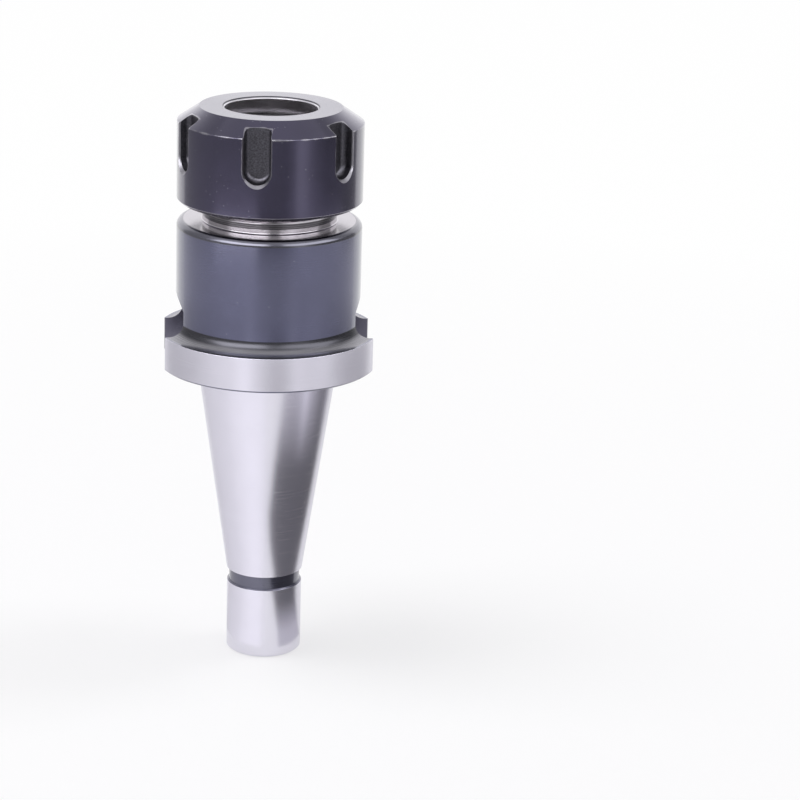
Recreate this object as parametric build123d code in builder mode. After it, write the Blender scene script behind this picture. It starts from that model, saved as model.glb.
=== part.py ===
from build123d import *
from math import hypot, radians, sqrt, tan
import os

# Collet chuck holder with a steep taper shank, and the nut that clamps its collet.
# Sizes are in millimetres. The origin is the middle of the shank's end face, on which
# the holder stands, and +Z runs along its axis towards the nut.

# Shank: a steep taper, then a groove and a short pilot cylinder at its small end
GAUGE_DIAMETER = 31.75
TAPER_ON_DIAMETER = 7 / 24
TAPER_LENGTH = 48.4
GROOVE_DEPTH = 0.45
GROOVE_WIDTH = 3.0
PILOT_DIAMETER = 17.4
PILOT_LENGTH = 17.0
PILOT_END_CHAMFER = 0.5
PILOT_TOP_CHAMFER = 0.35

# Drawbar hole: drilled to the core of an M12 thread, with a centre cone at its mouth
DRAWBAR_CORE_DIAMETER = 10.2
DRAWBAR_HOLE_DEPTH = 33.5
CENTRE_CONE_WIDTH = 1.5
CENTRE_CONE_ANGLE = 60
DRILL_POINT_ANGLE = 118

# Flange, and the hollow fillet between its rim and the body
FLANGE_DIAMETER = 50
FLANGE_SETBACK = 1.6
FLANGE_RIM_HEIGHT = 7.9
FLANGE_EDGE_CHAMFER = 0.4
FLANGE_LAND = 0.75
FLANGE_FILLET_HEIGHT = 2.75

# Drive slots: a flat floor that runs out up the body along the cutter's arc
DRIVE_SLOT_WIDTH = 16.1
DRIVE_SLOT_FLOOR = 16.2
DRIVE_CUTTER_RADIUS = 31.5
DRIVE_SLOT_BREAK = 0.4

# Body, from the gauge plane to the shoulder under the nut
BODY_DIAMETER = 42
BODY_HEIGHT = 35.25
SHOULDER_ROUND = 1.5

# Threaded nose, drawn as its outside cylinder, with a relief neck above the shoulder
THREAD_DIAMETER = 32
NOSE_HEIGHT = 18.95
NOSE_CHAMFER = 1.0
NECK_DEPTH = 0.8
NECK_HEIGHT = 2.4
NECK_FLARE = 0.9

# Collet seat and the clearance bore for the tool's shank behind it
COLLET_DIAMETER = 26
COLLET_HALF_ANGLE = 8
COLLET_SEAT_DEPTH = 27
COLLET_MOUTH_CHAMFER = 0.35
TOOL_BORE_DIAMETER = 18
TOOL_BORE_DEPTH = 49

# Clamping nut
NUT_DIAMETER = 42
NUT_HEIGHT = 21.5
NUT_GAP = 4.35
NUT_LOWER_CHAMFER = 0.7
NUT_CONE_WIDTH = 4.9
NUT_CONE_HEIGHT = 3.3
NUT_THREAD_CLEARANCE = 0.05
NUT_THREAD_CHAMFER = 0.75
NUT_RELIEF_DEPTH = 0.55
NUT_RELIEF_HEIGHT = 3.3

# Inside the nut's face: the extraction lip, the groove above it and the collet's cone
MOUTH_DIAMETER = 20.86
MOUTH_CHAMFER = 0.5
SEAT_HALF_ANGLE = 30
SEAT_WIDTH = 1.95
LIP_GROOVE_HEIGHT = 0.4
LIP_GROOVE_DEPTH = 0.7
LIP_HEIGHT = 0.6
LIP_DIAMETER = 23.2
LIP_OFFSET = 0.5

# Spanner slots round the nut
SLOT_COUNT = 6
SLOT_ANGLE = 19.2
SLOT_WIDTH = 6.0
SLOT_LENGTH = 14.0
SLOT_WALL = 1.4
SLOT_EDGE_BREAK = 0.25
RIM_BREAK = 0.15

# Heights that follow from the sizes above
groove_bottom = PILOT_LENGTH
taper_end = groove_bottom + GROOVE_WIDTH
gauge_plane = taper_end + TAPER_LENGTH
flange_bottom = gauge_plane + FLANGE_SETBACK
flange_top = flange_bottom + FLANGE_RIM_HEIGHT
body_start = flange_top + FLANGE_FILLET_HEIGHT
shoulder = gauge_plane + BODY_HEIGHT
neck_top = shoulder + NECK_HEIGHT
nose_face = shoulder + NOSE_HEIGHT
seat_end = nose_face - COLLET_SEAT_DEPTH
tool_bore_end = nose_face - TOOL_BORE_DEPTH
nut_bottom = shoulder + NUT_GAP
nut_face = nut_bottom + NUT_HEIGHT
nut_rim = nut_face - NUT_CONE_HEIGHT

# Radii that follow from the sizes above
pilot_radius = PILOT_DIAMETER / 2
groove_radius = pilot_radius - GROOVE_DEPTH
gauge_radius = GAUGE_DIAMETER / 2
small_end_radius = gauge_radius - TAPER_LENGTH * TAPER_ON_DIAMETER / 2
large_end_radius = gauge_radius + FLANGE_SETBACK * TAPER_ON_DIAMETER / 2
flange_radius = FLANGE_DIAMETER / 2
body_radius = BODY_DIAMETER / 2
thread_radius = THREAD_DIAMETER / 2
neck_radius = thread_radius - NECK_DEPTH
core_radius = DRAWBAR_CORE_DIAMETER / 2
centre_radius = core_radius + CENTRE_CONE_WIDTH
collet_radius = COLLET_DIAMETER / 2
seat_end_radius = collet_radius - COLLET_SEAT_DEPTH * tan(radians(COLLET_HALF_ANGLE))
tool_bore_radius = TOOL_BORE_DIAMETER / 2
drill_slope = tan(radians(DRILL_POINT_ANGLE / 2))


def corner(sketch, radius, height):
    """The corner of a profile that lies nearest to a radius and a height."""
    return sketch.vertices().sort_by_distance((radius, height, 0))[0]


def at_nut_rim(edge):
    """Whether an edge of the nut lies where its cone meets its outer wall."""
    return abs(edge.center().Z - nut_rim) < RIM_BREAK / 2


def outside_slot(edge):
    """Whether an edge of a spanner slot lies on the nut's outer wall or its cone."""
    middle = edge.center()
    on_wall = hypot(middle.X, middle.Y) > nut_radius - SLOT_EDGE_BREAK
    return (on_wall or middle.Z > nut_rim) and not at_nut_rim(edge)


def at_flange_rim(edge):
    """Whether an edge of a drive slot stands upright at the flange's rim."""
    middle = edge.center()
    return hypot(middle.X, middle.Y) > flange_radius - DRIVE_SLOT_BREAK


# The holder is turned from one bar: this is half of its section, from the drawbar
# hole's point round the outside to the tool bore's point.
with BuildPart() as holder_body:
    with BuildSketch(Plane.XZ) as section:
        with BuildLine():
            Polyline(
                (0, DRAWBAR_HOLE_DEPTH + core_radius / drill_slope),
                (core_radius, DRAWBAR_HOLE_DEPTH),
                (core_radius, CENTRE_CONE_WIDTH / tan(radians(CENTRE_CONE_ANGLE / 2))),
                (centre_radius, 0),
                (pilot_radius - PILOT_END_CHAMFER, 0),
                (pilot_radius, PILOT_END_CHAMFER),
                (pilot_radius, groove_bottom - PILOT_TOP_CHAMFER),
                (pilot_radius - PILOT_TOP_CHAMFER, groove_bottom),
                (groove_radius, groove_bottom),
                (groove_radius, taper_end),
                (small_end_radius, taper_end),
                (large_end_radius, flange_bottom),
                (flange_radius - FLANGE_EDGE_CHAMFER, flange_bottom),
                (flange_radius, flange_bottom + FLANGE_EDGE_CHAMFER),
                (flange_radius, flange_top),
                (flange_radius - FLANGE_LAND, flange_top),
            )
            TangentArc(
                (flange_radius - FLANGE_LAND, flange_top),
                (body_radius, body_start),
                tangent=(-1, 0),
            )
            Polyline(
                (body_radius, body_start),
                (body_radius, shoulder),
                (neck_radius, shoulder),
                (neck_radius, neck_top),
                (thread_radius, neck_top + NECK_DEPTH),
                (thread_radius, nose_face - NOSE_CHAMFER),
                (thread_radius - NOSE_CHAMFER, nose_face),
                (collet_radius + COLLET_MOUTH_CHAMFER, nose_face),
                (collet_radius, nose_face - COLLET_MOUTH_CHAMFER),
                (seat_end_radius, seat_end),
                (tool_bore_radius, seat_end),
                (tool_bore_radius, tool_bore_end),
                (0, tool_bore_end - tool_bore_radius / drill_slope),
                (0, DRAWBAR_HOLE_DEPTH + core_radius / drill_slope),
            )
        make_face()
        fillet(corner(section, body_radius, shoulder), SHOULDER_ROUND)
        chamfer(corner(section, neck_radius, shoulder), NECK_FLARE)
    revolve(axis=Axis.Z)

# Two drive slots across the flange. Their floor is flat up to the cutter's middle and
# then follows the cutter's arc until it leaves the body.
slot_reach = flange_radius + FLANGE_LAND
slot_rise = slot_reach - DRIVE_SLOT_FLOOR
slot_half_chord = sqrt(slot_rise * (2 * DRIVE_CUTTER_RADIUS - slot_rise))

with BuildPart() as drive_slot:
    with BuildSketch(Plane.XZ):
        with BuildLine():
            Line((slot_reach, gauge_plane), (DRIVE_SLOT_FLOOR, gauge_plane))
            Line((DRIVE_SLOT_FLOOR, gauge_plane), (DRIVE_SLOT_FLOOR, flange_bottom))
            TangentArc(
                (DRIVE_SLOT_FLOOR, flange_bottom),
                (slot_reach, flange_bottom + slot_half_chord),
                tangent=(0, 1),
            )
            Line((slot_reach, flange_bottom + slot_half_chord), (slot_reach, gauge_plane))
        make_face()
    extrude(amount=DRIVE_SLOT_WIDTH / 2, both=True)

with holder_body:
    with PolarLocations(0, 2):
        add(drive_slot.part, mode=Mode.SUBTRACT)
    slot_corners = holder_body.edges(Select.LAST).filter_by(Axis.Z).filter_by(at_flange_rim)
    chamfer(slot_corners, DRIVE_SLOT_BREAK)

holder_body.part.label = "holder_body"

# The nut is turned too: this is half of its section, from the thread's mouth round
# the outside to the extraction lip.
nut_radius = NUT_DIAMETER / 2
nut_bore = thread_radius + NUT_THREAD_CLEARANCE
relief_radius = nut_bore + NUT_RELIEF_DEPTH
mouth_radius = MOUTH_DIAMETER / 2
seat_radius = mouth_radius + SEAT_WIDTH
seat_top = nut_face - MOUTH_CHAMFER
seat_bottom = seat_top - SEAT_WIDTH / tan(radians(SEAT_HALF_ANGLE))
lip_top = seat_bottom - LIP_GROOVE_HEIGHT
lip_bottom = lip_top - LIP_HEIGHT
groove_wall = seat_radius + LIP_GROOVE_DEPTH
slot_floor = relief_radius + SLOT_WALL
slot_end = nut_face - SLOT_LENGTH

with BuildPart() as spanner_slot:
    with BuildSketch(Plane.YZ.offset(slot_floor)):
        with Locations((0, slot_end + SLOT_WIDTH / 2)):
            Circle(SLOT_WIDTH / 2)
        with Locations((0, slot_end + SLOT_WIDTH / 2 + SLOT_LENGTH / 2)):
            Rectangle(SLOT_WIDTH, SLOT_LENGTH)
    extrude(amount=nut_radius)

with BuildPart() as clamping_nut:
    with BuildSketch(Plane.XZ):
        with BuildLine():
            Polyline(
                (nut_bore + NUT_THREAD_CHAMFER, nut_bottom),
                (nut_radius - NUT_LOWER_CHAMFER, nut_bottom),
                (nut_radius, nut_bottom + NUT_LOWER_CHAMFER),
                (nut_radius, nut_rim),
                (nut_radius - NUT_CONE_WIDTH, nut_face),
                (mouth_radius + MOUTH_CHAMFER, nut_face),
                (mouth_radius, seat_top),
                (seat_radius, seat_bottom),
                (groove_wall, seat_bottom),
                (groove_wall, lip_top),
                (mouth_radius, lip_top),
                (mouth_radius, lip_bottom),
                (relief_radius, lip_bottom),
                (relief_radius, lip_bottom - NUT_RELIEF_HEIGHT),
                (nut_bore, lip_bottom - NUT_RELIEF_HEIGHT),
                (nut_bore, nut_bottom + NUT_THREAD_CHAMFER),
                close=True,
            )
        make_face()
    revolve(axis=Axis.Z)
    # The lip's hole is bored off centre, so that it hooks one side of the collet
    with BuildSketch(Plane.XY.offset(lip_bottom)):
        with Locations((LIP_OFFSET, 0)):
            Circle(LIP_DIAMETER / 2)
    extrude(amount=LIP_HEIGHT, mode=Mode.SUBTRACT)
    with PolarLocations(0, SLOT_COUNT, start_angle=SLOT_ANGLE):
        add(spanner_slot.part, mode=Mode.SUBTRACT)
    slot_edges = clamping_nut.edges(Select.LAST).filter_by(outside_slot)
    chamfer(slot_edges, SLOT_EDGE_BREAK)
    chamfer(clamping_nut.edges().filter_by(GeomType.CIRCLE).filter_by(at_nut_rim), RIM_BREAK)

clamping_nut.part.label = "clamping_nut"

os.makedirs("parts", exist_ok=True)
export_step(holder_body.part, "parts/holder_body.step")
export_step(clamping_nut.part, "parts/clamping_nut.step")
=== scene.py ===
import math

import bmesh
import bpy
import numpy as np
from mathutils import Matrix, Vector


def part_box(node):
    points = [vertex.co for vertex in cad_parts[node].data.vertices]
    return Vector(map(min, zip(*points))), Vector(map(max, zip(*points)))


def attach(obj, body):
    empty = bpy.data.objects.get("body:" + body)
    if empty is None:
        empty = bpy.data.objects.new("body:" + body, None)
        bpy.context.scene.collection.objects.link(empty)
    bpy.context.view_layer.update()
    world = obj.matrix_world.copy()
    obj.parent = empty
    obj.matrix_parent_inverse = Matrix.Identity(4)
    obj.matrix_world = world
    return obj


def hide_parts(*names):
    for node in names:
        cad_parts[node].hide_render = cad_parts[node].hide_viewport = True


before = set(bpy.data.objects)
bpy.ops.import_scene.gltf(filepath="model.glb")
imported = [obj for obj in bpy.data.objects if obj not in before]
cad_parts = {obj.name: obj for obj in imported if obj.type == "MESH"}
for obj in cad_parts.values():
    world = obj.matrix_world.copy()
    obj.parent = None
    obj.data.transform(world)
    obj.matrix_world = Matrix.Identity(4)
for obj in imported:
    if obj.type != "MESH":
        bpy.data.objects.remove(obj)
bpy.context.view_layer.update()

# All sizes here are millimetres; every mesh is scaled to metres when it is made.
MM = 0.001
TURN = 2 * math.pi
COLUMNS = 288  # faces round a turned surface
THREAD_COLUMNS = 192  # faces round a thread and round the lip
ARC_STEP = math.radians(9)  # the longest step along a round of a section
CUTTER_STEPS = 32  # steps along the arc of a cutter
ON_AXIS = 1e-6  # a radius below this lies on the axis
SHORTEST = 1e-4  # a line of a section below this length is left out
SMALLEST = 1e-7  # a face of a thread below this size is left out


def node_heights(node):
    """The lowest and the highest point of a node of the frame, in millimetres."""
    return [round(corner[2] / MM, 3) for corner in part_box(node)]


NOSE_FACE = node_heights("holder_body")[1]
NUT_LOW, NUT_FACE = node_heights("clamping_nut")

# The holder's section, from the shank's end to the nose
PILOT_R, PILOT_TOP, PILOT_CHAMFER = 8.7, 17.0, 0.5
GROOVE_R, GROOVE_CHAMFER, TAPER_LOW = 8.25, 0.35, 20.0
GAUGE_R, GAUGE_Z, TAPER_SLOPE = 15.875, 68.4, 7 / 48
FLANGE_R, FLANGE_LOW, FLANGE_TOP, FLANGE_CHAMFER = 25.0, 70.0, 77.9, 0.4
LAND, FILLET_HEIGHT = 0.75, 2.75
BODY_R, SHOULDER, SHOULDER_ROUND = 21.0, 103.65, 1.5
NECK_R, NECK_TOP, NOSE_FACE_R = 15.2, 106.05, 15.0
RING_HEIGHTS, RING_DEPTH = (104.8, 105.2, 105.6), 0.14

# Inside the holder: the drawbar hole, the tool bore and the collet seat
CENTRE_R, CENTRE_DEPTH = 6.6, 2.6
DRAWBAR_R, DRAWBAR_DEPTH, DRAWBAR_POINT = 5.1, 33.5, 36.56
TOOL_BORE_R, TOOL_BORE_LOW, TOOL_BORE_POINT = 9.0, 73.6, 68.19
COLLET_R, COLLET_DEPTH, COLLET_ANGLE, COLLET_CHAMFER = 13.0, 27.0, math.radians(8), 0.35
COLLET_LOW = NOSE_FACE - COLLET_DEPTH

# The drive slots: half their width, where their floor starts and their run-out ends,
# the radius of the cutter, and the broken edge at the rim
SLOT_HALF, SLOT_FLOOR, SLOT_REACH, CUTTER_R, SLOT_BREAK = 8.05, 16.2, 25.75, 31.5, 0.4

# The nut's section, and inside it the collet's cone, the lip and the relief groove
NUT_R, NUT_CHAMFER, ENTRY_R, FACE_R, CONE_HEIGHT = 21.0, 0.7, 16.8, 16.1, 3.3
NUT_RIM = NUT_FACE - CONE_HEIGHT
MOUTH_R, MOUTH_CHAMFER, SEAT_WIDTH, SEAT_ANGLE = 10.43, 0.5, 1.95, math.radians(30)
SEAT_R = MOUTH_R + SEAT_WIDTH
SEAT_LOW = NUT_FACE - MOUTH_CHAMFER - SEAT_WIDTH / math.tan(SEAT_ANGLE)
LIP_GROOVE, LIP_GROOVE_DEPTH, LIP_HEIGHT, LIP_R, LIP_OFFSET = 0.4, 0.7, 0.6, 11.6, 0.5
LIP_TOP = SEAT_LOW - LIP_GROOVE
LIP_LOW = LIP_TOP - LIP_HEIGHT
RELIEF_R, RELIEF_HEIGHT = 16.6, 3.3
THREAD_END = LIP_LOW - RELIEF_HEIGHT
BEHIND_MOUTH_R = 14.0  # every cut face nearer the axis than this belongs to the lip

# The threads: their pitch and radii, and the share of the pitch of each root and crest
PITCH = 1.5
THREAD_R, HOLDER_ROOT, HOLDER_CREST = 16.0, 0.375, 0.19
BORE_R, NUT_ROOT, NUT_CREST_R, NUT_CREST = 16.05, 0.17, 15.36, 0.25

# The nut's spanner slots: their lower end, floor and the round beside it, and the flare
# of their edges, which takes only a share of its width at the sides
SPANNER_COUNT, SPANNER_ANGLE, SPANNER_HALF = 6, math.radians(19.2), 3.0
SPANNER_LOW, SPANNER_FLOOR, SPANNER_ROUND = NUT_LOW + 7.9, 18.0, 1.25
SPANNER_SIDE = [NUT_FACE + 1.5 - 3 * k for k in range(4)]  # heights along a straight side
SPANNER_CHAMFER, SPANNER_FLARE, SIDE_SHARE = 0.7, 1.5, 0.5
SPANNER_REACH = 26.0  # where the cutter ends, outside the nut


# Turned solids


def section_strips(corners, closed):
    """Half a section as strips: (start, its normal, end, its normal, finish).

    A corner is (radius, height, round, finish of the line that leaves it). The solid
    lies to the left of the direction of travel. A round takes the finish that arrives.
    """
    count = len(corners)
    points = [Vector(c[:2]) for c in corners]
    leave, arrive, arcs = {}, {}, {}
    for i in range(count) if closed else range(1, count - 1):
        before, here, after = points[i - 1], points[i], points[(i + 1) % count]
        into, out = (here - before).normalized(), (after - here).normalized()
        turn = math.atan2(into.cross(out), into.dot(out))
        radius = corners[i][2]
        reach = radius * math.tan(abs(turn) / 2)
        arrive[i], leave[i] = here - into * reach, here + out * reach
        if radius:
            arcs[i] = arc_samples(arrive[i], into, turn, radius)
    strips = []
    for i in range(count if closed else count - 1):
        j = (i + 1) % count
        finish = corners[i][3]
        a = leave.get(i, points[i])
        b = arrive.get(j, points[j])
        if (b - a).length > SHORTEST:
            along = (b - a).normalized()
            normal = Vector((along.y, -along.x))
            strips.append((a, normal, b, normal, finish))
        arc = arcs.get(j, [])
        for (p, n), (q, m) in zip(arc, arc[1:]):
            strips.append((p, n, q, m, finish))
    return strips


def arc_samples(start, into, turn, radius):
    """Points and normals along the arc that leaves the start in the direction into."""
    side = math.copysign(1, turn)
    centre = start + Vector((-into.y, into.x)) * side * radius
    spoke = start - centre
    steps = max(2, math.ceil(abs(turn) / ARC_STEP))
    samples = []
    for k in range(steps + 1):
        cos, sin = math.cos(turn * k / steps), math.sin(turn * k / steps)
        here = Vector((spoke.x * cos - spoke.y * sin, spoke.x * sin + spoke.y * cos))
        samples.append((centre + here, here.normalized() * side))
    return samples


def revolved(name, strips, closed):
    """A closed mesh of revolution from the strips of half a section."""
    rings = [s[0] for s in strips]
    if not closed:
        rings.append(strips[-1][2])
    verts, index = [], []
    for p in rings:
        if p.x < ON_AXIS:
            index.append([len(verts)] * COLUMNS)
            verts.append((0, 0, p.y * MM))
            continue
        index.append([len(verts) + j for j in range(COLUMNS)])
        for j in range(COLUMNS):
            a = TURN * j / COLUMNS
            verts.append((p.x * MM * math.cos(a), p.x * MM * math.sin(a), p.y * MM))
    faces = []
    for k in range(len(strips)):
        low, high = index[k], index[(k + 1) % len(index)]
        for j in range(COLUMNS):
            n = (j + 1) % COLUMNS
            face = [low[j], low[n], high[n], high[j]]
            faces.append([v for i, v in enumerate(face) if v != face[i - 1]])
    made = solid(name, verts, faces)
    outward(made)
    return made


def solid(name, verts, faces):
    """A mesh object in metres."""
    mesh = bpy.data.meshes.new(name)
    mesh.from_pydata(verts, [], faces)
    mesh.update()
    made = bpy.data.objects.new(name, mesh)
    bpy.context.scene.collection.objects.link(made)
    return made


def lofted(name, rings):
    """A closed cutter: equal rings joined in turn, each ring and both ends closed."""
    count = len(rings[0])
    verts = [tuple(c * MM for c in p) for ring in rings for p in ring]
    faces = []
    for k in range(len(rings) - 1):
        for i in range(count):
            n = (i + 1) % count
            a, b = k * count, (k + 1) * count
            faces.append((a + i, a + n, b + n, b + i))
    faces.append(tuple(range(count))[::-1])
    faces.append(tuple((len(rings) - 1) * count + i for i in range(count)))
    made = solid(name, verts, faces)
    outward(made)
    return made


def outward(made):
    """Turns every face of a closed mesh to the outside."""
    bm = bmesh.new()
    bm.from_mesh(made.data)
    bmesh.ops.recalc_face_normals(bm, faces=bm.faces)
    bm.to_mesh(made.data)
    bm.free()


def cut(target, cutter):
    """Takes the cutter out of the target, and deletes it."""
    step = target.modifiers.new("cut", "BOOLEAN")
    step.operation = "DIFFERENCE"
    step.solver = "EXACT"
    step.object = cutter
    graph = bpy.context.evaluated_depsgraph_get()
    result = bpy.data.meshes.new_from_object(target.evaluated_get(graph))
    target.modifiers.clear()
    old, target.data = target.data, result
    bpy.data.meshes.remove(old)
    bpy.data.objects.remove(cutter)


def turned_copy(made, angle):
    """A copy turned about Z."""
    twin = made.copy()
    twin.data = made.data.copy()
    twin.data.transform(Matrix.Rotation(angle, 4, "Z"))
    bpy.context.scene.collection.objects.link(twin)
    return twin


# Finish and exact normals

# A face belongs to a strip that lies nearer than this in millimetres, faces the same way
# to this cosine, and leans aside by less than this sine
STRIP_GAP, STRIP_FACING, STRIP_ASIDE = 0.02, 0.97, 0.04
SMOOTH_LIMIT = math.cos(math.radians(32))  # cut faces that meet at less look smooth


def face_facts(mesh):
    """Centre in millimetres, normal and area of every face."""
    count = len(mesh.polygons)
    centre, normal = np.zeros(count * 3), np.zeros(count * 3)
    area = np.zeros(count)
    mesh.polygons.foreach_get("center", centre)
    mesh.polygons.foreach_get("normal", normal)
    mesh.polygons.foreach_get("area", area)
    return centre.reshape(-1, 3) / MM, normal.reshape(-1, 3), area


def strip_of_faces(centres, normals, strips):
    """For every face the strip it was turned from, or -1 for a cut face."""
    r = np.hypot(centres[:, 0], centres[:, 1])
    height = centres[:, 2]
    safe = np.maximum(r, ON_AXIS)
    out = np.stack([centres[:, 0] / safe, centres[:, 1] / safe], 1)
    outwards = (normals[:, :2] * out).sum(1)
    aside = np.abs(normals[:, 1] * out[:, 0] - normals[:, 0] * out[:, 1])
    best = np.full(len(r), np.inf)
    which = np.full(len(r), -1)
    for k, (a, na, b, nb, _) in enumerate(strips):
        line = np.array(b - a)
        t = ((r - a.x) * line[0] + (height - a.y) * line[1]) / (line @ line)
        t = np.clip(t, 0, 1)
        gap = np.hypot(r - a.x - t * line[0], height - a.y - t * line[1])
        mean = (na + nb).normalized()
        facing = outwards * mean.x + normals[:, 2] * mean.y
        same = (facing > STRIP_FACING) & (aside < STRIP_ASIDE)
        nearer = same & (gap < STRIP_GAP) & (gap < best)
        best[nearer], which[nearer] = gap[nearer], k
    return which


def strip_normal(strip, point):
    """The exact normal of a turned strip at a point of it."""
    a, na, b, nb, _ = strip
    r = math.hypot(point[0], point[1])
    line = b - a
    t = ((r - a.x) * line.x + (point[2] - a.y) * line.y) / line.length_squared
    n = na.lerp(nb, min(max(t, 0), 1)).normalized()
    if r < ON_AXIS:
        return Vector((0, 0, math.copysign(1, n.y)))
    return Vector((n.x * point[0] / r, n.x * point[1] / r, n.y))


def smooth_cut_normals(mesh, cut_faces, normals, area):
    """Normals of cut faces, averaged with those cut faces that meet them smoothly."""
    around = {}
    for f in cut_faces:
        for v in mesh.polygons[f].vertices:
            around.setdefault(v, []).append(f)
    made = {}
    for f in cut_faces:
        for v in mesh.polygons[f].vertices:
            total = np.zeros(3)
            for g in around[v]:
                if normals[f] @ normals[g] > SMOOTH_LIMIT:
                    total += normals[g] * area[g]
            made[f, v] = Vector(total).normalized()
    return made


def split_by_finish(source, strips, cut_finish, groups):
    """New pieces from one cut solid, one for each finish group, with exact normals.

    cut_finish(centre, normal) names the finish of a cut face, and groups gives the
    piece name and the finishes of each piece. Faces of any other finish are left out.
    """
    mesh = source.data
    centres, normals, area = face_facts(mesh)
    which = strip_of_faces(centres, normals, strips)
    cut_faces = [f for f in range(len(which)) if which[f] < 0]
    cut_normals = smooth_cut_normals(mesh, cut_faces, normals, area)
    coords = [tuple(v.co) for v in mesh.vertices]
    finish = [
        strips[which[f]][4] if which[f] >= 0 else cut_finish(centres[f], normals[f])
        for f in range(len(which))
    ]
    pieces = {}
    for name, finishes in groups.items():
        verts, index, faces, slots, loops = [], {}, [], [], []
        for f in range(len(which)):
            if finish[f] not in finishes:
                continue
            face = []
            for v in mesh.polygons[f].vertices:
                if v not in index:
                    index[v] = len(verts)
                    verts.append(coords[v])
                face.append(index[v])
                if which[f] >= 0:
                    point = [c / MM for c in coords[v]]
                    loops.append(strip_normal(strips[which[f]], point))
                else:
                    loops.append(cut_normals[f, v])
            faces.append(face)
            slots.append(finishes.index(finish[f]))
        pieces[name] = solid(name, verts, faces)
        set_look(pieces[name], slots, loops, finishes)
    bpy.data.objects.remove(source)
    return pieces


def set_look(piece, slots, loops, finishes):
    """Gives a piece its materials and its loop normals."""
    for name in finishes:
        piece.data.materials.append(material(name))
    piece.data.polygons.foreach_set("material_index", slots)
    piece.data.polygons.foreach_set("use_smooth", [True] * len(slots))
    piece.data.normals_split_custom_set(loops)
    piece.data.update()


# Threads


def thread_profile(inner, outer, inner_share, outer_share):
    """One pitch of a thread as (share of the pitch, radius).

    It goes along the flat at the inner radius, up a flank in three steps, along the flat
    at the outer radius, and down the other flank.
    """
    flank = (1 - inner_share - outer_share) / 2
    rise = outer - inner
    profile = [(0, inner)]
    for k in range(4):
        profile.append((inner_share + flank * k / 3, inner + rise * k / 3))
    for k in range(3):
        profile.append((inner_share + flank + outer_share + flank * k / 3, outer - rise * k / 3))
    return profile


def thread_mesh(profile, low, high, start, limit, inside):
    """Vertices and faces of a helical thread, right handed.

    limit(radius, height) trims the profile to the envelope at both ends, where the
    thread closes to a circle.
    """
    per = len(profile)
    turns = math.ceil((high - low) / PITCH) + 3
    rows = turns * per + 1
    verts = []
    for j in range(THREAD_COLUMNS):
        angle = TURN * j / THREAD_COLUMNS
        for i in range(rows):
            share, radius = profile[i % per]
            z = start + PITCH * (i // per + share + j / THREAD_COLUMNS - 2)
            z = min(max(z, low), high)
            r = limit(radius, z)
            verts.append((r * math.cos(angle), r * math.sin(angle), z))
    faces = []
    for j in range(THREAD_COLUMNS):
        n = (j + 1) % THREAD_COLUMNS
        shift = 0 if n else per  # the last column joins the first one a pitch further on
        for i in range(rows - 1 - shift):
            a, b = j * rows + i, j * rows + i + 1
            c, d = n * rows + i + 1 + shift, n * rows + i + shift
            faces.append([a, b, c, d] if inside else [a, d, c, b])
    return verts, faces


def merged(verts, faces):
    """The mesh with doubled points joined, without the faces that this shrinks to a line."""
    key, keep, where = {}, [], []
    for v in verts:
        k = tuple(round(c, 4) for c in v)
        if k not in key:
            key[k] = len(keep)
            keep.append(v)
        where.append(key[k])
    joined = []
    for face in faces:
        ids = [where[v] for v in face]
        joined.append([v for i, v in enumerate(ids) if v != ids[i - 1]])
    return keep, [ids for ids in joined if len(set(ids)) > 2]


def thread_piece(name, profile, low, high, start, limit, inside, finish):
    """A thread as a piece, whose normals turn smoothly about the axis."""
    keep, faces = merged(*thread_mesh(profile, low, high, start, limit, inside))
    points = np.array(keep)
    made, loops = [], []
    for ids in faces:
        p = points[ids]
        n = sum(np.cross(p[i] - p[0], p[i + 1] - p[0]) for i in range(1, len(ids) - 1))
        size = np.linalg.norm(n)
        if size < SMALLEST:
            continue
        n = n / size
        centre = p.mean(0)
        middle = math.atan2(centre[1], centre[0])
        out = n[0] * math.cos(middle) + n[1] * math.sin(middle)
        aside = n[1] * math.cos(middle) - n[0] * math.sin(middle)
        made.append(ids)
        for q in p:
            a = math.atan2(q[1], q[0])
            x = out * math.cos(a) - aside * math.sin(a)
            y = out * math.sin(a) + aside * math.cos(a)
            loops.append(Vector((x, y, n[2])))
    piece = solid(name, [tuple(c * MM for c in p) for p in keep], made)
    set_look(piece, [0] * len(made), loops, [finish])
    return piece


# The holder


def taper_r(z):
    """The radius of the 7:24 taper at a height."""
    return GAUGE_R + (z - GAUGE_Z) * TAPER_SLOPE


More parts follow.
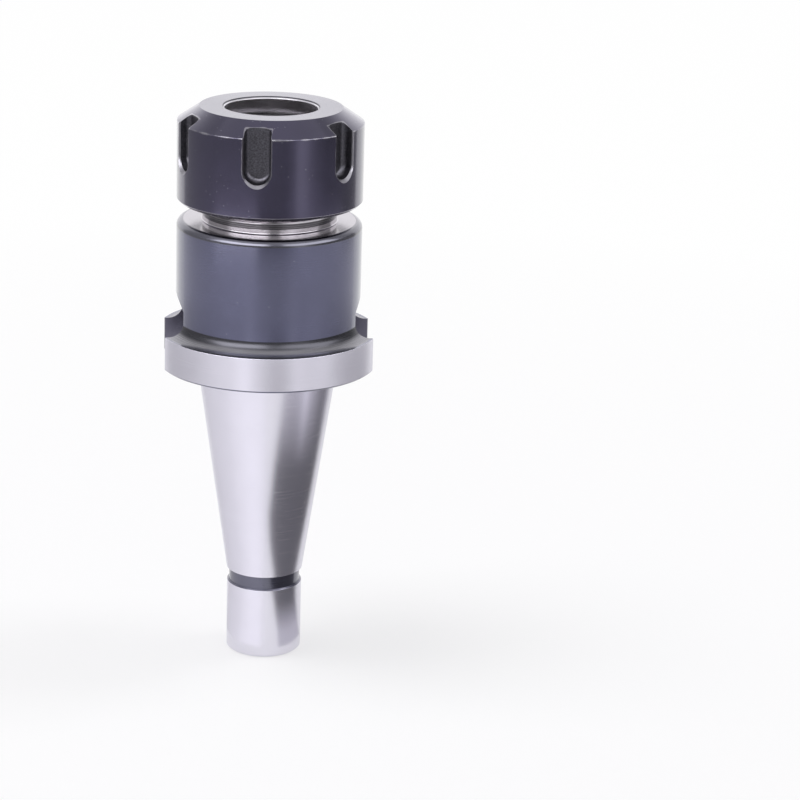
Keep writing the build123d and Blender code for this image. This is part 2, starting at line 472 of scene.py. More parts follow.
def holder_strips():
    """The holder's half section, with small rounds on the edges that show."""
    width = FLANGE_R - LAND - BODY_R
    turn = 2 * math.atan2(FILLET_HEIGHT, width)
    fillet = math.hypot(width, FILLET_HEIGHT) / 2 / math.sin(turn / 2)
    corner = FLANGE_R - LAND - fillet * math.tan(turn / 2)
    collet_end_r = COLLET_R - COLLET_DEPTH * math.tan(COLLET_ANGLE)
    # The rings take the darker finish of painted shade under the nut
    neck_rings = []
    for z in RING_HEIGHTS:
        neck_rings += [
            (NECK_R, z, 0, "neck_rings"),
            (NECK_R - RING_DEPTH, z + RING_DEPTH, 0, "neck_rings"),
            (NECK_R, z + 2 * RING_DEPTH, 0, "neck_rings"),
        ]
    return section_strips(
        [
            (0, DRAWBAR_POINT, 0, "bore_low"),
            (DRAWBAR_R, DRAWBAR_DEPTH, 0, "bore_low"),
            (DRAWBAR_R, CENTRE_DEPTH, 0, "ground"),
            (CENTRE_R, 0, 0.08, "ground"),
            (PILOT_R - PILOT_CHAMFER, 0, 0.1, "ground"),
            (PILOT_R, PILOT_CHAMFER, 0.15, "ground"),
            (PILOT_R, PILOT_TOP - GROOVE_CHAMFER, 0.1, "groove"),
            (PILOT_R - GROOVE_CHAMFER, PILOT_TOP, 0, "groove"),
            (GROOVE_R, PILOT_TOP, 0, "groove"),
            (GROOVE_R, TAPER_LOW, 0, "groove"),
            (taper_r(TAPER_LOW), TAPER_LOW, 0.08, "ground"),
            (taper_r(FLANGE_LOW), FLANGE_LOW, 0, "oxide"),
            (FLANGE_R - FLANGE_CHAMFER, FLANGE_LOW, 0.08, "oxide"),
            (FLANGE_R, FLANGE_LOW + FLANGE_CHAMFER, 0.08, "ground"),
            (FLANGE_R, FLANGE_TOP, 0.1, "oxide"),
            (FLANGE_R - LAND, FLANGE_TOP, 0, "satin"),
            (corner, FLANGE_TOP, fillet, "oxide"),
            (BODY_R, FLANGE_TOP + FILLET_HEIGHT, 0, "oxide"),
            (BODY_R, SHOULDER - SHOULDER_ROUND - 0.02, 0, "shoulder"),
            (BODY_R, SHOULDER, SHOULDER_ROUND, "nose"),
            (NECK_R, SHOULDER, 0.35, "nose"),
            *neck_rings,
            (NECK_R, NECK_TOP, 0, "hidden"),
            # The nose's end face takes a darker steel: painted shade inside the nut
            (NOSE_FACE_R, NOSE_FACE, 0, "shaded_nose_face"),
            (COLLET_R + COLLET_CHAMFER, NOSE_FACE, 0.08, "shaded_nose_face"),
            (COLLET_R, NOSE_FACE - COLLET_CHAMFER, 0.08, "nose"),
            (collet_end_r, COLLET_LOW, 0, "nose"),
            (TOOL_BORE_R, COLLET_LOW, 0.2, "bore"),
            (TOOL_BORE_R, TOOL_BORE_LOW, 0, "bore"),
            (0, TOOL_BORE_POINT, 0, "bore"),
        ],
        closed=False,
    )


def drive_cutter():
    """The cutter of one drive slot, on +X, whose floor runs out upwards along an arc.

    Its rings are upright rectangles that follow one another outwards, and they widen
    where the slot's edges at the rim are broken.
    """
    sweep = math.acos(1 - (SLOT_REACH - SLOT_FLOOR) / CUTTER_R)
    rim = math.sqrt(FLANGE_R**2 - SLOT_HALF**2)
    edge = rim - SLOT_BREAK
    spread = rim / (FLANGE_R - SLOT_HALF)
    low = GAUGE_Z - 1
    angles = [sweep * k / CUTTER_STEPS for k in range(CUTTER_STEPS + 1)]
    rings = []
    for x in sorted([SLOT_FLOOR + CUTTER_R * (1 - math.cos(a)) for a in angles] + [edge]):
        half = SLOT_HALF + max(x - edge, 0) * spread
        top = FLANGE_LOW + CUTTER_R * math.sin(math.acos(1 - (x - SLOT_FLOOR) / CUTTER_R))
        rings.append([(x, -half, low), (x, half, low), (x, half, top), (x, -half, top)])
    return lofted("cutter", rings)


def nose_limit(radius, height):
    """The envelope of the holder's thread: a chamfer at its foot and at the nose."""
    return min(radius, NECK_R + max(height - NECK_TOP, 0), NOSE_FACE_R + NOSE_FACE - height)


def make_holder():
    """The holder's pieces: the shank, the flange and body, and the threaded nose."""
    strips = holder_strips()
    blank = revolved("holder_blank", strips, closed=False)
    cutter = drive_cutter()
    other = turned_copy(cutter, math.pi)
    cut(blank, cutter)
    cut(blank, other)
    groups = {
        "shank": ["ground", "bore_low"],
        "flange_and_body": ["oxide", "shoulder", "groove", "satin", "slot_wall"],
        "nose": ["nose", "neck_rings", "shaded_nose_face", "bore"],
    }
    pieces = split_by_finish(blank, strips, lambda centre, normal: "slot_wall", groups)
    profile = thread_profile(NECK_R, THREAD_R, HOLDER_ROOT, HOLDER_CREST)
    pieces["nose_thread"] = thread_piece(
        "nose_thread", profile, NECK_TOP, NOSE_FACE, NECK_TOP, nose_limit, False, "nose"
    )
    return pieces


# The nut


def nut_strips():
    """The nut's half section."""
    mouth_rim_r = MOUTH_R + MOUTH_CHAMFER
    lip_groove_r = SEAT_R + LIP_GROOVE_DEPTH
    return section_strips(
        [
            (ENTRY_R, NUT_LOW, 0.05, "nut"),
            # The lower chamfer takes a lighter oxide: a painted reflection
            (NUT_R - NUT_CHAMFER, NUT_LOW, 0.08, "nut_low"),
            (NUT_R, NUT_LOW + NUT_CHAMFER, 0.1, "nut"),
            (NUT_R, NUT_RIM, 0.18, "nut"),
            (FACE_R, NUT_FACE, 0.18, "nut"),
            # The mouth's chamfer: painted shade on its upper half, a painted highlight on its lower
            # half
            (mouth_rim_r, NUT_FACE, 0.06, "nut_slot_and_mouth_shade"),
            (MOUTH_R + MOUTH_CHAMFER / 2, NUT_FACE - MOUTH_CHAMFER / 2, 0, "nut_mouth_highlight"),
            (MOUTH_R, NUT_FACE - MOUTH_CHAMFER, 0.12, "nut_seat"),
            # The lip and its groove take a darker steel: painted shade deep in the mouth
            (SEAT_R, SEAT_LOW, 0, "shaded_nut_lip"),
            (lip_groove_r, SEAT_LOW, 0, "shaded_nut_lip"),
            (lip_groove_r, LIP_TOP, 0, "shaded_nut_lip"),
            (MOUTH_R, LIP_TOP, 0, "shaded_nut_lip"),
            (MOUTH_R, LIP_LOW, 0, "nut"),
            (RELIEF_R, LIP_LOW, 0, "nut"),
            (RELIEF_R, THREAD_END, 0, "nut"),
            (BORE_R, THREAD_END, 0, "hidden"),
        ],
        closed=True,
    )


def spanner_cutter():
    """The cutter of the first spanner slot, built on +X and turned to its place.

    Its rings follow one another outwards: the floor's round corner, the wall, and the
    flare of the edge, which is widest below.
    """
    middle = SPANNER_LOW + SPANNER_HALF
    side = [(SPANNER_HALF, z, 1, 0) for z in SPANNER_SIDE]
    outline = list(side)
    for k in range(CUTTER_STEPS + 1):
        cos, sin = math.cos(TURN / 2 * k / CUTTER_STEPS), math.sin(TURN / 2 * k / CUTTER_STEPS)
        outline.append((SPANNER_HALF * cos, middle - SPANNER_HALF * sin, cos, -sin))
    outline += [(-y, z, -ny, nz) for y, z, ny, nz in reversed(side)]

    def ring(x, spread, side_share=1.0):
        return [(x, y + ny * spread * side_share, z + nz * spread) for y, z, ny, nz in outline]

    corner_steps = 6
    rings = []
    for k in range(corner_steps + 1):
        a = TURN / 4 * k / corner_steps
        x = SPANNER_FLOOR + SPANNER_ROUND * (1 - math.cos(a))
        rings.append(ring(x, SPANNER_ROUND * (math.sin(a) - 1)))
    start = NUT_R - SPANNER_CHAMFER
    rings.append(ring(start, 0))
    rings.append(ring(start + SPANNER_FLARE, SPANNER_FLARE, SIDE_SHARE))
    rings.append(ring(SPANNER_REACH, SPANNER_FLARE, SIDE_SHARE))
    cutter = lofted("cutter", rings)
    cutter.data.transform(Matrix.Rotation(SPANNER_ANGLE, 4, "Z"))
    return cutter


def lip_cutter():
    """The off-centre hole through the extraction lip."""
    angles = [TURN * k / THREAD_COLUMNS for k in range(THREAD_COLUMNS)]
    circle = [(LIP_OFFSET + LIP_R * math.cos(a), LIP_R * math.sin(a)) for a in angles]
    over = 0.2  # how far it goes past the lip at both ends
    heights = (LIP_LOW - over, LIP_TOP + over)
    return lofted("cutter", [[(x, y, z) for x, y in circle] for z in heights])


def nut_cut_finish(centre, normal):
    """The finish of a cut face of the nut."""
    if math.hypot(centre[0], centre[1]) < BEHIND_MOUTH_R:
        return "shaded_nut_lip"
    step = TURN / SPANNER_COUNT
    turned = math.atan2(centre[1], centre[0]) - SPANNER_ANGLE
    near = SPANNER_ANGLE + round(turned / step) * step
    out = normal[0] * math.cos(near) + normal[1] * math.sin(near)
    reach = centre[0] * math.cos(near) + centre[1] * math.sin(near)
    # A flared face leans outwards, and lies further out than the start of the flare
    flared = 0.3 < out < 0.95 and reach > NUT_R - SPANNER_CHAMFER - 0.01
    return "nut_worn" if flared else "nut_slot_and_mouth_shade"


def nut_limit(radius, height):
    """The envelope of the nut's thread: a chamfer at its entry and at its end."""
    return max(radius, ENTRY_R - (height - NUT_LOW), BORE_R - (THREAD_END - height))


def make_nut():
    """The clamping nut's pieces: its shell, its seat and its thread."""
    strips = nut_strips()
    blank = revolved("nut_blank", strips, closed=True)
    first = spanner_cutter()
    angles = [TURN * k / SPANNER_COUNT for k in range(1, SPANNER_COUNT)]
    for cutter in [first] + [turned_copy(first, a) for a in angles] + [lip_cutter()]:
        cut(blank, cutter)
    groups = {
        "nut_shell": ["nut", "nut_slot_and_mouth_shade", "nut_worn", "nut_low"],
        "nut_seat": ["nut_seat", "shaded_nut_lip", "nut_mouth_highlight"],
    }
    pieces = split_by_finish(blank, strips, nut_cut_finish, groups)
    profile = thread_profile(NUT_CREST_R, BORE_R, NUT_CREST, NUT_ROOT)
    # The nut's crests lie in the middle of the holder's roots
    start = NECK_TOP + PITCH * (HOLDER_ROOT / 2 - NUT_CREST / 2)
    start += math.ceil((NUT_LOW - start) / PITCH) * PITCH
    pieces["nut_thread"] = thread_piece(
        "nut_thread", profile, NUT_LOW, THREAD_END, start, nut_limit, True, "nut"
    )
    return pieces


# Node trees


class Nodes:
    """Short calls for building the node tree of a material or of the world."""

    def __init__(self, owner):
        owner.use_nodes = True
        self.owner = owner
        self.tree = owner.node_tree
        self.shader = self.tree.nodes.get("Principled BSDF")

    def add(self, kind, **settings):
        node = self.tree.nodes.new(kind)
        for key, value in settings.items():
            setattr(node, key, value)
        return node

    def give(self, socket, value):
        """Links an output to a socket, or sets its constant."""
        if isinstance(value, bpy.types.NodeSocket):
            self.tree.links.new(value, socket)
        else:
            socket.default_value = value

    def shade(self, inputs):
        """Gives the shader its inputs by name."""
        for name, value in inputs.items():
            self.give(self.shader.inputs[name], value)

    def parts(self, vector):
        """The three coordinates of a vector."""
        split = self.add("ShaderNodeSeparateXYZ")
        self.give(split.inputs[0], vector)
        return tuple(split.outputs)

    def math(self, operation, a, b=0.0):
        node = self.add("ShaderNodeMath", operation=operation)
        self.give(node.inputs[0], a)
        self.give(node.inputs[1], b)
        return node.outputs[0]

    def wrap(self, angle, half):
        """The angle between minus half and half."""
        node = self.add("ShaderNodeMath", operation="WRAP")
        for socket, value in zip(node.inputs, (angle, half, -half)):
            self.give(socket, value)
        return node.outputs[0]

    def hypot(self, a, b):
        squares = self.math("ADD", self.math("MULTIPLY", a, a), self.math("MULTIPLY", b, b))
        return self.math("SQRT", squares)

    def noise(self, vector, scale, detail, rough=0.5):
        node = self.add("ShaderNodeTexNoise")
        for key, value in (("Scale", scale), ("Detail", detail), ("Roughness", rough)):
            node.inputs[key].default_value = value
        self.give(node.inputs["Vector"], vector)
        return node.outputs["Fac"]

    def position(self):
        """Place on the part in millimetres."""
        coords = self.add("ShaderNodeTexCoord")
        scale = self.add("ShaderNodeVectorMath", operation="SCALE")
        scale.inputs["Scale"].default_value = 1 / MM
        self.give(scale.inputs[0], coords.outputs["Object"])
        return scale.outputs[0]

    def lathe_lines(self, position, spacing):
        """A value that changes across turning lines and hardly along them."""
        x, y, z = self.parts(position)
        radius = self.hypot(x, y)
        along = self.math("MULTIPLY", self.math("ADD", x, self.math("MULTIPLY", y, 0.7)), 0.06)
        join = self.add("ShaderNodeCombineXYZ")
        self.give(join.inputs[0], self.math("DIVIDE", radius, spacing))
        self.give(join.inputs[1], self.math("DIVIDE", z, spacing))
        self.give(join.inputs[2], along)
        return self.noise(join.outputs[0], scale=1.0, detail=3.0, rough=0.6)

    def ramp(self, value, stops, interpolation="LINEAR"):
        """The colour at a value, from (place, colour) stops."""
        node = self.add("ShaderNodeValToRGB")
        node.color_ramp.interpolation = interpolation
        elements = node.color_ramp.elements
        while len(elements) < len(stops):
            elements.new(0.5)
        for element, (place, colour) in zip(elements, stops):
            element.position = place
            element.color = (*colour, 1)
        self.give(node.inputs[0], value)
        return node.outputs[0]

    def span(self, value, low, high, to_low, to_high, interpolation="LINEAR"):
        """The value's place between low and high, as a number between the other two."""
        node = self.add("ShaderNodeMapRange", interpolation_type=interpolation)
        ends = {"From Min": low, "From Max": high, "To Min": to_low, "To Max": to_high}
        for key, number in ends.items():
            node.inputs[key].default_value = number
        self.give(node.inputs["Value"], value)
        return node.outputs["Result"]

    def mix(self, kind, factor, first, second):
        """From the first value to the second; kind is RGBA or FLOAT."""
        node = self.add("ShaderNodeMix", data_type=kind)
        for key, value in (("Factor", factor), ("A", first), ("B", second)):
            self.give(node.inputs[key], value)
        return node.outputs["Result"]

    def bump(self, height, strength, distance_mm):
        node = self.add("ShaderNodeBump")
        node.inputs["Strength"].default_value = strength
        node.inputs["Distance"].default_value = distance_mm * MM
        self.give(node.inputs["Height"], height)
        return node.outputs["Normal"]


# Kinds of steel

SPECK_COLOUR = (0.4, 0.4, 0.44, 1)
WORN_COLOUR = (0.5, 0.49, 0.52, 1)
# The colour of the painted shade in the hollow fillet's crease under the body
CREASE_SHADE_COLOUR = (0.08, 0.08, 0.09, 1)


def steel_finish(made, base, roughness, anisotropy=0.3, line=0.08, line_height=0.001, blotch=0.03):
    """Bare steel: turning lines, a little uneven in tone and gloss."""
    n = Nodes(made)
    place = n.position()
    lines = n.lathe_lines(place, line)
    cloud = n.noise(place, scale=0.12, detail=3.0)
    tone = n.math("ADD", n.math("MULTIPLY", lines, 0.4), n.math("MULTIPLY", cloud, 0.6))
    dark = tuple(c * (1 - blotch) for c in base)
    light = tuple(min(c * (1 + blotch), 1) for c in base)
    n.shade(
        {
            "Base Color": n.ramp(tone, [(0.3, dark), (0.7, light)]),
            "Roughness": n.span(lines, 0.3, 0.7, roughness * 0.85, roughness * 1.15),
            "Normal": n.bump(lines, 0.5, line_height),
            "Metallic": 1,
            "Anisotropic": anisotropy,
        }
    )


def oxide_finish(
    made, base, roughness, line, line_height, specks=0, coat=1.0, wear=None, grain=0.1, contrast=0.07
):
    """Blackened steel: dark, glossy, with a thin oil film and a few pale specks."""
    n = Nodes(made)
    place = n.position()
    lines = n.lathe_lines(place, line)
    cloud = n.noise(place, grain, detail=4.0, rough=0.55)
    dark = tuple(c * (1 - contrast) for c in base)
    light = tuple(c * (1 + contrast) for c in base)
    tone = n.ramp(cloud, [(0.35, dark), (0.65, light)])
    if specks:
        tone = n.mix("RGBA", pale_specks(n, place, specks), tone, SPECK_COLOUR)
    if wear:
        tone = n.mix("RGBA", wear(n, place), tone, WORN_COLOUR)
    uneven = n.span(cloud, 0.35, 0.65, roughness * 0.9, roughness * 1.1)
    n.shade(
        {
            "Base Color": tone,
            "Roughness": n.math("ADD", n.span(lines, 0.3, 0.7, -0.03, 0.03), uneven),
            "Normal": n.bump(lines, 0.5, line_height),
            "Metallic": 1,
            "Anisotropic": 0.5,
            "Coat Weight": coat,
            "Coat Roughness": 0.12,
            "Coat IOR": 1.5,
        }
    )


def pale_specks(n, place, share):
    """Small round specks, one in each of that share of random cells."""
    cells = n.add("ShaderNodeTexVoronoi")
    cells.inputs["Scale"].default_value = 1.3
    n.give(cells.inputs["Vector"], place)
    spot = n.span(cells.outputs["Distance"], 0.07, 0.15, 1, 0)
    split = n.add("ShaderNodeSeparateColor")
    n.give(split.inputs[0], cells.outputs["Color"])
    chosen = n.span(split.outputs[0], 1 - share, 1 - share + 0.02, 0, 1)
    return n.math("MULTIPLY", spot, chosen)


def nut_wear(n, place):
    """Where the nut's finish is worn off: its rim and the edges of its slots.

    Every span goes from a distance in millimetres at full wear to one without wear.
    """
    x, y, z = n.parts(place)
    radius = n.hypot(x, y)
    # The place seen from the nearest slot: outwards, aside and below its round end
    local = n.wrap(n.math("SUBTRACT", n.math("ARCTAN2", y, x), SPANNER_ANGLE), TURN / SPANNER_COUNT / 2)
    reach = n.math("MULTIPLY", radius, n.math("COSINE", local))
    aside = n.math("ABSOLUTE", n.math("MULTIPLY", radius, n.math("SINE", local)))
    below = n.math("MINIMUM", n.math("SUBTRACT", z, SPANNER_LOW + SPANNER_HALF), 0)
    flare = n.math("MAXIMUM", n.math("SUBTRACT", reach, NUT_R - SPANNER_CHAMFER), 0)
    flare = n.math("MULTIPLY", flare, SIDE_SHARE)
    past = n.math("SUBTRACT", n.math("SUBTRACT", n.hypot(aside, below), SPANNER_HALF), flare)
    # The place seen from the turned outside: the wall and the cone that ends it
    out = n.math("SUBTRACT", radius, NUT_R)
    up = n.math("SUBTRACT", z, NUT_RIM)
    slope = math.atan2(NUT_R - FACE_R, CONE_HEIGHT)
    over = n.math("MULTIPLY", up, math.sin(slope))
    cone = n.math("ADD", over, n.math("MULTIPLY", out, math.cos(slope)))
    skin = n.math("MAXIMUM", out, cone)

    uneven = n.noise(place, scale=0.45, detail=2.0)
    shift = n.span(uneven, 0.35, 0.65, -0.1, 0.1)
    inside = n.span(reach, SPANNER_FLOOR - 0.1, SPANNER_FLOOR, 0, 1)
    between = n.span(aside, SPANNER_HALF, SPANNER_HALF + 0.1, 1, 0)
    near_side = n.span(n.math("ADD", n.hypot(past, skin), shift), 0.06, 0.18, 0.55, 0)
    floor_end = n.hypot(n.math("SUBTRACT", reach, SPANNER_FLOOR), skin)
    near_floor = n.span(n.math("ADD", floor_end, shift), 0.1, 0.24, 0.6, 0)
    near_rim = n.span(n.math("ADD", n.hypot(out, up), shift), 0.1, 0.24, 1, 0)
    beside_slot = n.span(past, 0.2, 1.4, 0.5, 0)
    patchy = n.math("ADD", n.span(uneven, 0.4, 0.62, 0.5, 0.12), beside_slot)
    sides = n.math("MULTIPLY", near_side, inside)
    worn = n.math("MAXIMUM", sides, n.math("MULTIPLY", near_floor, between))
    return n.math("MAXIMUM", worn, n.math("MULTIPLY", near_rim, patchy))


# The finishes, each under the name that the sections use


def ground(made):
    """The shank's end, its pilot and its taper, and the flange's rim."""
    steel_finish(made, (0.76, 0.745, 0.82), 0.24, anisotropy=0.75, line=0.05, line_height=0.0006)


def nose(made):
    """The shoulder's flat face, the neck, the holder's thread and the collet seat."""
    steel_finish(made, (0.55, 0.53, 0.55), roughness=0.14)


def neck_rings(made):
    """The fine rings of the neck, in a darker steel as painted shade under the nut."""
    steel_finish(made, (0.21, 0.203, 0.214), roughness=0.2)


def shaded_nose_face(made):
    """The nose's end face and the chamfer of the collet seat, in a darker steel as painted shade inside
    the nut.
    """
    steel_finish(made, (0.2, 0.195, 0.21), roughness=0.35)


def bore(made):
    """The drilled tool bore."""
    steel_finish(made, (0.36, 0.35, 0.37), roughness=0.32, line=0.12, line_height=0.002)


def bore_low(made):
    """The drawbar hole in the shank's end."""
    steel_finish(made, (0.3, 0.3, 0.32), roughness=0.35, line=0.12, line_height=0.002)


def satin(made):
    """The hollow fillet: satin near the rim, and darker towards the body as painted shade in the
    crease.
    """
    steel_finish(made, (0.37, 0.367, 0.388), 0.28, 0.4, line=0.06, line_height=0.001, blotch=0.1)
    n = Nodes(made)
    lower = n.shader.inputs["Base Color"].links[0].from_socket
    height = n.parts(n.position())[2]
    # Painted shade: the fillet's colour darkens towards the body
    upper = n.span(height, FLANGE_TOP + 0.4, FLANGE_TOP + 1.25, 0, 1)
    n.shade({"Base Color": n.mix("RGBA", upper, lower, CREASE_SHADE_COLOUR)})


def groove(made):
    """The groove between the pilot and the taper."""
    oxide_finish(made, (0.12, 0.12, 0.165), 0.3, line=0.1, line_height=0.002)


def oxide(made):
    """The body, and the flange's underside and land."""
    oxide_finish(made, (0.102, 0.105, 0.175), 0.24, line=0.06, line_height=0.0008, specks=0.06)


def shoulder(made):
    """The round of the body's shoulder."""
    oxide_finish(made, (0.112, 0.112, 0.14), 0.24, line=0.06, line_height=0.0008)


def slot_wall(made):
    """The milled drive slots."""
    oxide_finish(made, (0.17, 0.165, 0.21), 0.3, line=0.06, line_height=0.001, coat=0.5)


def nut(made):
    """The nut's outside and its thread."""
    base = (0.064, 0.057, 0.106)
    oxide_finish(made, base, 0.2, line=0.07, line_height=0.0008, specks=0.16, wear=nut_wear)


def nut_slot_and_mouth_shade(made):
    """The grainy spanner slots, and the upper half of the mouth's chamfer, dark as painted shade."""
    base = (0.085, 0.083, 0.096)
    oxide_finish(made, base, 0.38, line=0.05, line_height=0.001, coat=0.3, grain=3.0, contrast=0.3)


def nut_low(made):
    """The chamfer at the nut's lower end, lighter as a painted reflection."""
    base = (0.42, 0.4, 0.45)
    oxide_finish(made, base, 0.26, line=0.05, line_height=0.0004, coat=0.5, grain=0.2, contrast=0.08)


def nut_worn(made):
    """The flared edges of the spanner slots."""
    steel_finish(made, (0.33, 0.325, 0.35), 0.36, 0.2, line=0.05, line_height=0.001, blotch=0.12)


def nut_mouth_highlight(made):
    """The lower half of the mouth's chamfer, bright as a painted highlight."""
    steel_finish(made, (0.8, 0.79, 0.82), roughness=0.3, line=0.06, line_height=0.0008)


def nut_seat(made):
    """The cone that presses on the collet."""
    steel_finish(made, (0.8, 0.78, 0.81), roughness=0.4)


def shaded_nut_lip(made):
    """The extraction lip and the groove above it, in a darker steel as painted shade deep in the mouth.
    """
    steel_finish(made, (0.2, 0.195, 0.205), roughness=0.4)


FINISHES = {
    finish.__name__: finish
    for finish in (
        ground, nose, neck_rings, shaded_nose_face, bore, bore_low, satin, groove, oxide, shoulder,
        slot_wall, nut, nut_slot_and_mouth_shade, nut_low, nut_worn, nut_mouth_highlight, nut_seat, shaded_nut_lip,
    )
}
MATERIALS = {}


def material(name):
    """The finish of that name, made once."""
    if name not in MATERIALS:
        MATERIALS[name] = bpy.data.materials.new(name)
        FINISHES[name](MATERIALS[name])
    return MATERIALS[name]


# The floor and the cards

# The camera that was fitted to the photograph: its heading, downward pitch and roll in
# degrees, its place, and its focal length on that sensor
CAMERA_ANGLES, CAMERA_PLACE = (5.4106, 17.6317, 1.7593), (-26.67, -607.18, 254.49)
FOCAL_LENGTH, SENSOR_WIDTH = 124.30, 36
CAMERA_AZIMUTH = math.radians(-92.5)  # its angle about the axis
CARD_REACH = 200  # the distance of the round cards from the axis
CARD_STEPS = 60
FLOOR_HALF = 4000
FLOOR_NEAR, FLOOR_FAR = 120, 420  # between these distances its shadows fade away

# What stands round the object, from the camera's point of view: (angle in degrees, tone)
LOW_TONES = (
    (-125, 0.56), (-93, 0.56), (-79, 0.61), (-66, 0.69), (-55, 0.83), (-44, 0.88), (-33, 0.88),
    (-22, 1.32), (-12, 0.88), (-2, 0.65), (8, 0.4), (18, 0.5), (29, 1.0), (39, 0.72),
    (50, 0.78), (62, 0.79), (74, 0.55), (87, 0.45), (99, 0.44), (125, 0.5),
)
MIDDLE_TONES = (
    (-125, 0.6), (-72, 0.7), (-62, 3.0), (-18, 3.0), (-9, 0.03), (15, 0.03), (26, 0.45),
    (50, 1.3), (90, 1.3), (104, 0.3), (125, 0.3),
)
HIGH_TONES = (
    (-125, 0.44), (-60, 0.5), (-22, 0.5), (-10, 0.42), (12, 0.4), (18, 0.36), (26, 0.5),
    (34, 1.05), (37, 1.05), (42, 0.9), (50, 0.55), (58, 0.4), (69, 0.28), (125, 0.28),
)
OVERHEAD_TONES = (
    (-125, 0.5), (-76, 0.5), (-62, 4.6), (-6, 4.6), (2, 0.3), (14, 0.3), (22, 3.0), (84, 3.0),
    (95, 0.5), (125, 0.5),
)
TOP_TONES = (
    (-125, 0.6), (-100, 0.8), (-80, 1.3), (-20, 1.1), (0, 0.8), (14, 0.8), (30, 1.0), (80, 1.0),
    (100, 0.6), (125, 0.6),
)
# What stands beside the shank, as its taper shows it
LEFT_TONES = (
    (-130, 0.78), (-120, 0.78), (-92, 0.86), (-70, 0.91), (-50, 1.03), (-30, 1.12), (-12, 1.12),
    (-2, 1.03),
)
RIGHT_LOW_TONES = ((-6, 0.17), (92, 0.15), (108, 0.12), (126, 0.3))
RIGHT_TOP_TONES = (
    (-6, 0.6), (30, 0.55), (40, 0.5), (54, 0.55), (59, 0.95), (65, 0.95), (70, 0.5), (78, 0.42),
    (88, 0.3), (98, 0.17), (108, 0.22), (116, 0.5), (126, 0.75),
)
# The outline of what stands on the right: (height, its first and its last angle)
RIGHT_OUTLINE = (
    (0.2, 34, 110), (3, 34, 104), (6.3, 28, 98), (14, 12, 104), (20, 8, 109), (30, 14, 114),
    (46, 24, 119), (56, 26, 122),
)


def make_floor():
    """A white floor, shown white to camera and gloss, with shadows of half their depth.

    Further out, where the lamps fall off, less and less of it takes their light.
    """
    half = FLOOR_HALF * MM
    corners = [(-half, -half, 0), (half, -half, 0), (half, half, 0), (-half, half, 0)]
    floor = solid("floor", corners, [(0, 1, 2, 3)])
    n = Nodes(bpy.data.materials.new("floor_white"))
    n.tree.nodes.remove(n.shader)
    output = n.tree.nodes["Material Output"]
    path = n.add("ShaderNodeLightPath")
    seen = n.math("MAXIMUM", path.outputs["Is Camera Ray"], path.outputs["Is Glossy Ray"])
    length = n.add("ShaderNodeVectorMath", operation="LENGTH")
    n.give(length.inputs[0], n.position())
    taken = n.span(length.outputs["Value"], FLOOR_NEAR, FLOOR_FAR, 0.5, 0.02)
    diffuse = n.add("ShaderNodeBsdfDiffuse")
    n.give(diffuse.inputs["Color"], taken)
    glow = n.add("ShaderNodeEmission")
    n.give(glow.inputs["Strength"], n.math("MULTIPLY", seen, n.math("SUBTRACT", 1, taken)))
    both = n.add("ShaderNodeAddShader")
    n.give(both.inputs[0], diffuse.outputs[0])
    n.give(both.inputs[1], glow.outputs[0])
    n.give(output.inputs["Surface"], both.outputs[0])
    floor.data.materials.append(n.owner)


def ruled_card(name, rows, tint=(0.97, 0.96, 1)):
    """The nodes of a card that only reflections see, bent round the axis.

    Its rows are (height, reach, first and last angle in degrees from the camera).
    """
    verts = []
    for z, reach, first, last in rows:
        for i in range(CARD_STEPS + 1):
            a = CAMERA_AZIMUTH + math.radians(first + (last - first) * i / CARD_STEPS)
            verts.append((reach * MM * math.cos(a), reach * MM * math.sin(a), z * MM))
    faces = []
    for k in range(len(rows) - 1):
        for i in range(CARD_STEPS):
            low, high = k * (CARD_STEPS + 1) + i, (k + 1) * (CARD_STEPS + 1) + i
            faces.append((low, low + 1, high + 1, high))
    card = solid(name, verts, faces)
    n = Nodes(bpy.data.materials.new(name))
    black = {"Base Color": (0, 0, 0, 1), "Roughness": 1, "Specular IOR Level": 0}
    n.shade({**black, "Emission Color": (*tint, 1)})
    card.data.materials.append(n.owner)
    for ray in ("camera", "diffuse", "shadow", "transmission", "volume_scatter"):
        setattr(card, "visible_" + ray, False)
    return n


def angle_and_height(n):
    """The angle from the camera about the axis, and the height, of a card's point."""
    x, y, z = n.parts(n.position())
    turned = n.math("SUBTRACT", n.math("ARCTAN2", y, x), CAMERA_AZIMUTH)
    return n.wrap(turned, TURN / 2), z


def toned(n, angle, tones):
    """The tone at an angle."""
    first, last = tones[0][0], tones[-1][0]
    share = n.span(angle, math.radians(first), math.radians(last), 0, 1)
    stops = [((a - first) / (last - first), (tone,) * 3) for a, tone in tones]
    return n.ramp(share, stops, "EASE")


def toned_card(name, low, high, tones, lift=None):
    """A round card between two heights, whose tone changes with the angle.

    lift gives the heights between which the tone goes most of the way to plain white.
    """
    first, last = tones[0][0], tones[-1][0]
    n = ruled_card(name, [(z, CARD_REACH, first, last) for z in (low, high)])
    angle, z = angle_and_height(n)
    tone = toned(n, angle, tones)
    if lift:
        tone = n.mix("FLOAT", n.span(z, *lift, 0, 0.8), tone, 1)
    n.shade({"Emission Strength": tone})


def card_reach(z):
    """How far from the axis the cards beside the shank stand, close below and further above."""
    return min(13 + 2.2 * z, 24.3 + z * 18 / 42)


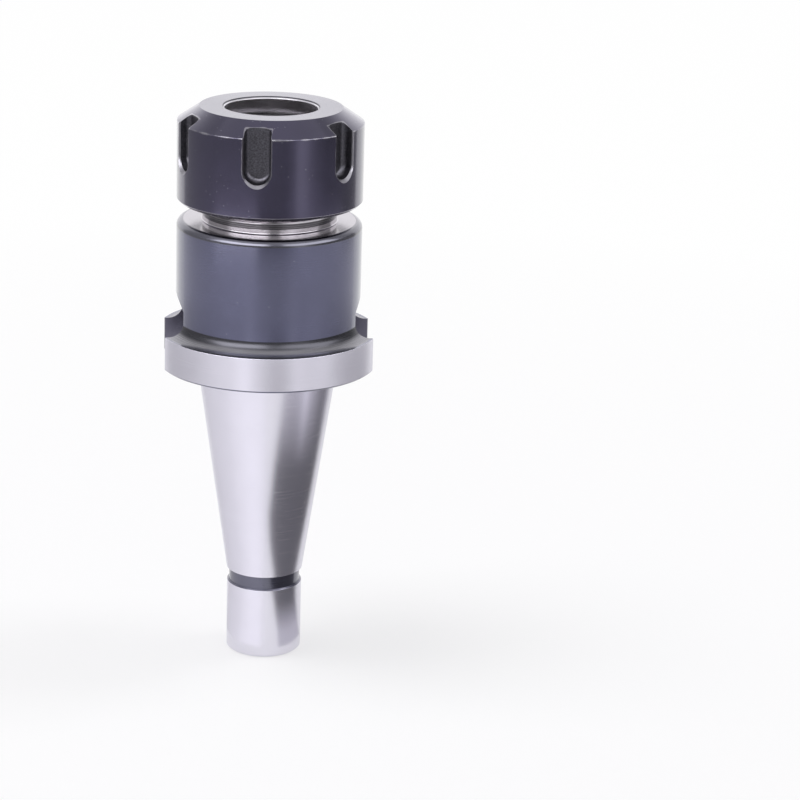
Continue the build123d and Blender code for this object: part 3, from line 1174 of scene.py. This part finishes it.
def shank_cards():
    """What stands beside the shank: a faint grey on its left, and dark things on its right."""
    first, last = LEFT_TONES[0][0], LEFT_TONES[-1][0]
    n = ruled_card("left_card", [(z, card_reach(z), first, last) for z in (0.5, 6.3, 56)])
    angle, z = angle_and_height(n)
    n.shade({"Emission Strength": toned(n, angle, LEFT_TONES)})

    rows = [(z, card_reach(z), first, last) for z, first, last in RIGHT_OUTLINE]
    n = ruled_card("right_card", rows, tint=(0.93, 0.91, 1))
    angle, z = angle_and_height(n)
    low, top = toned(n, angle, RIGHT_LOW_TONES), toned(n, angle, RIGHT_TOP_TONES)
    tone = n.mix("FLOAT", n.span(z, 31, 47, 0, 1), low, top)
    n.shade({"Emission Strength": n.math("ADD", tone, n.span(z, 2, 6, 0.45, 0))})


def make_stage():
    """The pale floor, and the cards that only reflections see."""
    make_floor()
    toned_card("low_card", 0.5, 55.5, LOW_TONES, lift=(23, 37))
    toned_card("middle_card", 55.5, 61.5, MIDDLE_TONES)
    toned_card("high_card", 61.5, 156, HIGH_TONES)
    toned_card("overhead_card", 156, 300, OVERHEAD_TONES)
    toned_card("top_card", 300, 800, TOP_TONES)
    ceiling = ruled_card("ceiling_card", [(800, 500, -180, 180), (800, 2, -180, 180)])
    ceiling.shade({"Emission Strength": 0.75})
    shank_cards()


# Light and camera


def make_world():
    """A white world to the camera, and a pale one to the object, brighter low behind it."""
    world = bpy.data.worlds.new("studio")
    bpy.context.scene.world = world
    n = Nodes(world)
    _, y, z = n.parts(n.add("ShaderNodeTexCoord").outputs["Generated"])
    behind = n.span(y, -0.35, 0.25, 0, 1, "SMOOTHSTEP")
    low = n.span(z, 0.3, 0.75, 0.62, 0, "SMOOTHSTEP")
    pale = n.math("ADD", n.math("MULTIPLY", behind, low), 0.52)
    camera_ray = n.add("ShaderNodeLightPath").outputs["Is Camera Ray"]
    back = n.tree.nodes["Background"]
    n.give(back.inputs["Strength"], n.math("MAXIMUM", pale, camera_ray))
    n.give(back.inputs["Color"], (0.975, 0.965, 1, 1))


def area_lamp(name, place, width, height, watts):
    """A soft lamp, placed in metres and aimed at the body, that reflections don't see."""
    light = bpy.data.lights.new(name, "AREA")
    light.shape = "RECTANGLE"
    light.size, light.size_y, light.energy = width, height, watts
    lamp = bpy.data.objects.new(name, light)
    lamp.location = place
    aim = Vector((0, 0, 0.09)) - Vector(place)
    lamp.rotation_euler = aim.to_track_quat("-Z", "Y").to_euler()
    lamp.visible_glossy = False
    bpy.context.scene.collection.objects.link(lamp)


def make_camera():
    """The photograph's viewing angle."""
    heading, pitch, roll = (math.radians(a) for a in CAMERA_ANGLES)
    ahead_x = math.sin(heading) * math.cos(pitch)
    ahead_y = math.cos(heading) * math.cos(pitch)
    forward = Vector((ahead_x, ahead_y, -math.sin(pitch)))
    right = forward.cross(Vector((0, 0, 1))).normalized()
    up = right.cross(forward)
    across = right * math.cos(roll) + up * math.sin(roll)
    upward = up * math.cos(roll) - right * math.sin(roll)
    lens = bpy.data.cameras.new("camera")
    lens.lens, lens.sensor_width, lens.sensor_fit = FOCAL_LENGTH, SENSOR_WIDTH, "HORIZONTAL"
    lens.clip_start, lens.clip_end = 0.01, 20
    camera = bpy.data.objects.new("camera", lens)
    place = Matrix((across, upward, -forward)).transposed().to_4x4()
    place.translation = Vector(CAMERA_PLACE) * MM
    camera.matrix_world = place
    bpy.context.scene.collection.objects.link(camera)
    bpy.context.scene.camera = camera


# The whole scene

make_camera()
make_stage()
make_world()
area_lamp("lamp_left", (-0.42, -0.02, 1.06), width=0.46, height=0.6, watts=3.6)
area_lamp("lamp_right", (0.55, 0.1, 1.02), width=0.3, height=0.45, watts=2)

for body, node, pieces in (
    ("holder", "holder_body", make_holder()),
    ("nut", "clamping_nut", make_nut()),
):
    for name, piece in pieces.items():
        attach(piece, body)
        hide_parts(node)

bpy.context.scene.view_settings.view_transform = "Standard"

bpy.context.view_layer.update()
